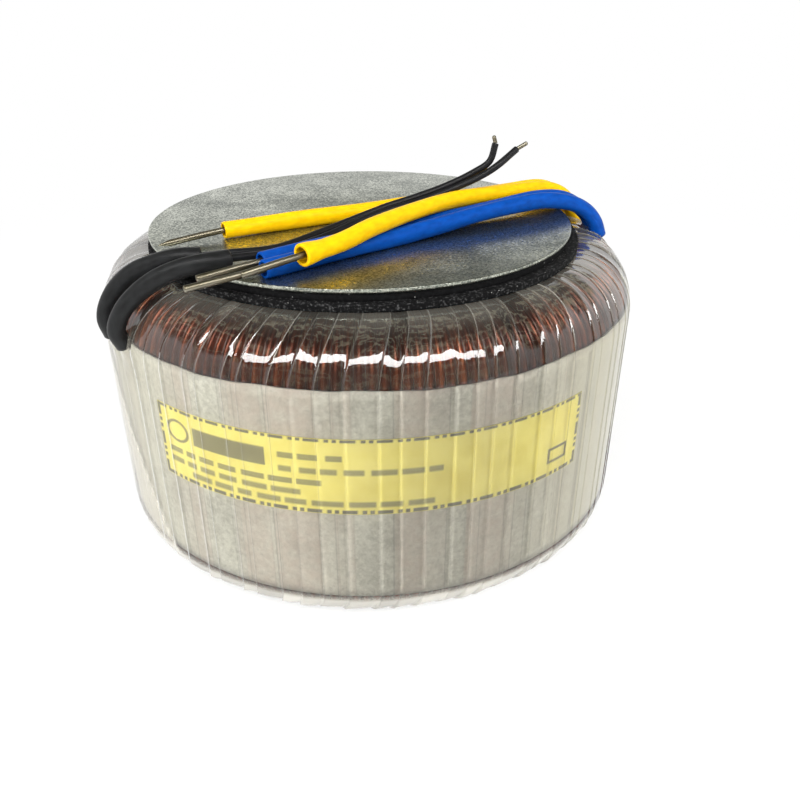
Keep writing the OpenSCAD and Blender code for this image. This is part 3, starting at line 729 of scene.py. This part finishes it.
# galvanised sheet steel: hot dipped and stamped, so dull grey-green zinc with a fine crystal mottle,
# smoother where it is paler
def zincMaterial():
    material, tree = newMaterial("galvanisedSteel")
    coord = addNode(tree, "ShaderNodeTexCoord")
    crystal = addNode(tree, "ShaderNodeTexNoise", {
        "Vector": coord.outputs["Object"], "Scale": 2600, "Detail": 2})  # 0.4 mm
    cloud = addNode(tree, "ShaderNodeTexNoise", {
        "Vector": coord.outputs["Object"], "Scale": 110, "Detail": 5, "Roughness": 0.6})  # 9 mm
    crystals = addNode(tree, "ShaderNodeMath", {0: crystal.outputs["Fac"], 1: 0.7}, operation="MULTIPLY")
    mottle = addNode(tree, "ShaderNodeMath", {0: cloud.outputs["Fac"], 1: 0.3, 2: crystals.outputs[0]},
                     operation="MULTIPLY_ADD")
    colour = addNode(tree, "ShaderNodeValToRGB", {"Fac": mottle.outputs[0]},
                     [(0.4, "#7b8179"), (0.5, "#a9ada2"), (0.6, "#d6d9cb")])
    rough = addNode(tree, "ShaderNodeMapRange", {
        "Value": mottle.outputs[0], "From Min": 0.38, "From Max": 0.62, "To Min": 0.4, "To Max": 0.26})
    bump = addNode(tree, "ShaderNodeBump", {
        "Strength": 0.35, "Distance": 0.00006, "Height": mottle.outputs[0]})
    shader = addNode(tree, "ShaderNodeBsdfPrincipled", {
        "Base Color": colour.outputs["Color"], "Metallic": 1.0, "Roughness": rough.outputs[0],
        "Normal": bump.outputs[0]})
    addNode(tree, "ShaderNodeOutputMaterial", {"Surface": shader.outputs[0]})
    return material


# rubber sheet: calendered and die cut, so matt black with a fine grain, dusted with grains of white; the
# grain's palest tone is painted light, darker on the upper gasket in the disc's shade and paler on the lower
# one
def rubberMaterial(name, paintedLightTone):
    material, tree = newMaterial(name)
    coord = addNode(tree, "ShaderNodeTexCoord")
    grain = addNode(tree, "ShaderNodeTexNoise", {
        "Vector": coord.outputs["Object"], "Scale": 2200, "Detail": 3})  # 0.45 mm
    # specks 0.2 mm across and 1.4 mm apart, coarser than real dust so that they show
    dust = addNode(tree, "ShaderNodeTexVoronoi", {"Vector": coord.outputs["Object"], "Scale": 700})
    speck = addNode(tree, "ShaderNodeMath", {0: dust.outputs["Distance"], 1: 0.07}, operation="LESS_THAN")
    # painted light: the last stop is set per gasket, dark where the disc shades it and paler where it is lit
    base = addNode(tree, "ShaderNodeValToRGB", {"Fac": grain.outputs["Fac"]},
                   [(0.4, "#050506"), (0.55, "#0c0c0d"), (0.7, paintedLightTone)])
    spotted = addNode(tree, "ShaderNodeMix", {
        0: speck.outputs[0], 6: base.outputs["Color"], 7: "#a8a8a4"}, data_type="RGBA")
    bump = addNode(tree, "ShaderNodeBump", {
        "Strength": 0.5, "Distance": 0.00015, "Height": grain.outputs["Fac"]})
    shader = addNode(tree, "ShaderNodeBsdfPrincipled", {
        "Base Color": spotted.outputs[2], "Roughness": 0.85, "Specular IOR Level": 0.2,
        "Normal": bump.outputs[0]})
    addNode(tree, "ShaderNodeOutputMaterial", {"Surface": shader.outputs[0]})
    return material


# lip is the radius of a washer's corners, and roll that of the lower outer one, which the stamp drew over
washers = [
    {"name": "steelDisc", "node": "mounting_disc", "slot": "disc_steel", "centre": (-1.4, -0.4),
     "inner": 4.25, "lip": 0.18, "roll": 0.55, "sides": 256, "material": zincMaterial()},
    # painted light: the upper gasket's rubber is painted darker, as shade under the disc, and the lower one
    # paler, as lit
    {"name": "upperGasket", "node": "upper_gasket", "slot": "rubber", "centre": (-1.4, -0.4), "inner": 6.0,
     "lip": 0.15, "roll": 0.15, "sides": 224, "material": rubberMaterial("upperRubberShaded", "#141415")},
    {"name": "lowerGasket", "node": "lower_gasket", "slot": "rubber", "centre": (-0.7, -0.4), "inner": 6.0,
     "lip": 0.2, "roll": 0.2, "sides": 224, "material": rubberMaterial("lowerRubberLit", "#4a4a4a")},
]


def washerPoints(w):
    # a quarter circle at each corner of a rectangle (r, z), carried round the washer's own centre
    widest, low, high = reach(w["node"])
    outer, inner, lip, roll = widest - w["centre"][0], w["inner"], w["lip"], w["roll"]
    corners = [(outer - lip, high - lip, lip), (inner + lip, high - lip, lip), (inner + lip, low + lip, lip),
               (outer - roll, low + roll, roll)]
    profile = []
    for k, (r, z, size) in enumerate(corners):
        turn = np.linspace(0, math.pi / 2, 5) + k * math.pi / 2
        profile.append(np.stack([r + size * np.cos(turn), z + size * np.sin(turn)], axis=1))
    profile = np.concatenate(profile)
    angle = np.linspace(0, 2 * math.pi, w["sides"], endpoint=False)
    return roundTheAxis(profile[:, :1], profile[:, 1:], angle) + (*w["centre"], 0)


for washer in washers:
    points = washerPoints(washer)
    ring = makeMesh(washer["name"], points * mm, [gridFaces(*points.shape[:2], True, True)])
    dress(ring, washer["material"], washer["node"])
print("disc and gaskets made")


# what lies under the outer winding shows only through gaps and the centre hole: two tones in soft patches
def innerMaterial(name, pale, dark, roughness, metallic, scale):
    material, tree = newMaterial(name)
    coord = addNode(tree, "ShaderNodeTexCoord")
    patch = addNode(tree, "ShaderNodeTexNoise", {
        "Vector": coord.outputs["Object"], "Scale": scale, "Detail": 4})
    colour = addNode(tree, "ShaderNodeValToRGB", {"Fac": patch.outputs["Fac"]}, [(0.35, dark), (0.65, pale)])
    shader = addNode(tree, "ShaderNodeBsdfPrincipled", {
        "Base Color": colour.outputs["Color"], "Roughness": roughness, "Metallic": metallic})
    addNode(tree, "ShaderNodeOutputMaterial", {"Surface": shader.outputs[0]})
    return material


innerLayers = [
    (innerMaterial("stripSteel", "#7d8086", "#5f6268", 0.4, 1.0, 300), ["core"]),  # rolled: grey, 3 mm bands
    (innerMaterial("pressboard", "#a5855a", "#8d6f48", 0.85, 0.0, 260),  # pressed: matt brown, 4 mm fibres
     ["upper_core_ring", "lower_core_ring", "core_inner_sleeve", "core_outer_sleeve"]),
    (innerMaterial("polyesterTape", "#d9c894", "#c9b57c", 0.4, 0.0, 90),  # wound: satin straw, 11 mm laps
     ["core_tape", "primary_insulation", "secondary_insulation"]),
    (innerMaterial("innerCopper", "#8c4428", "#6e3320", 0.35, 0.9, 400),  # drawn and varnished: red-brown
     ["primary_winding", "secondary_winding_1"]),
]
for material, layers in innerLayers:
    for layer in layers:
        nodes[layer].data.materials.clear()
        nodes[layer].data.materials.append(material)
print("inner layers finished")

studio = {
    "floorHalf": 3.0, "floorShade": "#f2f2f0",
    "shadowFrom": 0.07, "shadowTo": 0.3,  # metres from the middle
    "shadowWhite": 0.72,  # how much of the floor is plain white at its middle
    "fill": 0.7,  # strength of the light from all round
    "roomLow": 0.34, "roomHigh": 0.46,  # the sine of the elevation above which gloss shows the room
    "roomScale": 5.0,
    "roomShades": [(0.42, "#191b1b"), (0.5, "#33383d"), (0.55, "#ebe4c2"), (0.62, "#30363f")],
}


# matt backdrop paper, white to the camera and in gloss, which keeps the object's shadow near it
def floorMaterial():
    material, tree = newMaterial("stageFloor")
    path = addNode(tree, "ShaderNodeLightPath")
    shown = addNode(tree, "ShaderNodeMath", {
        0: path.outputs["Is Camera Ray"], 1: path.outputs["Is Glossy Ray"]}, operation="MAXIMUM")
    shown = addNode(tree, "ShaderNodeMath", {
        0: shown.outputs[0], 1: path.outputs["Is Transmission Ray"]}, operation="MAXIMUM")
    coord = addNode(tree, "ShaderNodeTexCoord")
    away = addNode(tree, "ShaderNodeVectorMath", {0: coord.outputs["Object"]}, operation="LENGTH")
    fade = addNode(tree, "ShaderNodeMapRange", {
        "Value": away.outputs["Value"], "From Min": studio["shadowFrom"], "From Max": studio["shadowTo"],
        "To Min": studio["shadowWhite"], "To Max": 1.0})
    share = addNode(tree, "ShaderNodeMath", {0: shown.outputs[0], 1: fade.outputs[0]}, operation="MULTIPLY")
    base = addNode(tree, "ShaderNodeBsdfDiffuse", {"Color": studio["floorShade"]})
    white = addNode(tree, "ShaderNodeEmission", {"Color": (1, 1, 1, 1), "Strength": 1.0})
    both = addNode(tree, "ShaderNodeMixShader", {
        0: share.outputs[0], 1: base.outputs[0], 2: white.outputs[0]})
    addNode(tree, "ShaderNodeOutputMaterial", {"Surface": both.outputs[0]})
    return material


half = studio["floorHalf"]
floor = makeMesh("stageFloor", [(-half, -half, 0), (half, -half, 0), (half, half, 0), (-half, half, 0)],
                 [np.array([[0, 1, 2, 3]])])
floor.data.materials.append(floorMaterial())

# The world is white to the camera and lights the object evenly. Gloss sees white low down, and a dim
# cluttered room above that and in front.
world = bpy.data.worlds.new("studio")
bpy.context.scene.world = world
world.use_nodes = True
tree = world.node_tree
tree.nodes.clear()
path = addNode(tree, "ShaderNodeLightPath")
coord = addNode(tree, "ShaderNodeTexCoord")
towards = addNode(tree, "ShaderNodeSeparateXYZ", {0: coord.outputs["Generated"]})
above = addNode(tree, "ShaderNodeMapRange", {
    "Value": towards.outputs["Z"], "From Min": studio["roomLow"], "From Max": studio["roomHigh"]},
    interpolation_type="SMOOTHSTEP")
inFront = addNode(tree, "ShaderNodeMapRange", {
    "Value": towards.outputs["Y"], "From Min": -0.25, "From Max": -0.75}, interpolation_type="SMOOTHSTEP")
roomPart = addNode(tree, "ShaderNodeMath", {0: above.outputs[0], 1: inFront.outputs[0]}, operation="MAXIMUM")
clutter = addNode(tree, "ShaderNodeTexNoise", {
    "Vector": coord.outputs["Generated"], "Scale": studio["roomScale"], "Detail": 1.0})
room = addNode(tree, "ShaderNodeValToRGB", {"Fac": clutter.outputs["Fac"]}, studio["roomShades"])
seen = addNode(tree, "ShaderNodeMix", {
    0: roomPart.outputs[0], 6: (1, 1, 1, 1), 7: room.outputs["Color"]}, data_type="RGBA")
shown = addNode(tree, "ShaderNodeBackground", {"Color": seen.outputs[2], "Strength": 1.0})
fill = addNode(tree, "ShaderNodeBackground", {"Color": (1, 1, 1, 1), "Strength": studio["fill"]})
white = addNode(tree, "ShaderNodeBackground", {"Color": (1, 1, 1, 1), "Strength": 1.0})
gloss = addNode(tree, "ShaderNodeMath", {
    0: path.outputs["Is Glossy Ray"], 1: path.outputs["Is Transmission Ray"]}, operation="MAXIMUM")
lit = addNode(tree, "ShaderNodeMixShader", {0: gloss.outputs[0], 1: fill.outputs[0], 2: shown.outputs[0]})
sky = addNode(tree, "ShaderNodeMixShader", {
    0: path.outputs["Is Camera Ray"], 1: lit.outputs[0], 2: white.outputs[0]})
addNode(tree, "ShaderNodeOutputWorld", {"Surface": sky.outputs[0]})

lamps = [  # place, target, size in metres, watts, and whether gloss mirrors the lamp
    ("overhead", (0.0, -0.5, 0.6), (0, 0, 0.05), (1.5, 0.155), 7.2, True),
    ("frontLeft", (-0.5, -0.75, 0.45), (0, 0, 0.04), (0.35, 0.35), 4.5, False),
    ("right", (0.8, -0.35, 0.4), (0, 0, 0.05), (0.4, 0.4), 2.0, False),
]
for name, place, target, size, power, mirrored in lamps:
    light = bpy.data.lights.new(name, "AREA")
    light.shape = "RECTANGLE"
    light.size, light.size_y = size
    light.energy = power
    lamp = bpy.data.objects.new(name, light)
    lamp.location = place
    lamp.rotation_euler = (Vector(target) - Vector(place)).to_track_quat("-Z", "Y").to_euler()
    lamp.visible_glossy = mirrored
    bpy.context.scene.collection.objects.link(lamp)

bpy.context.scene.view_settings.view_transform = "Standard"
print("stage and light set")
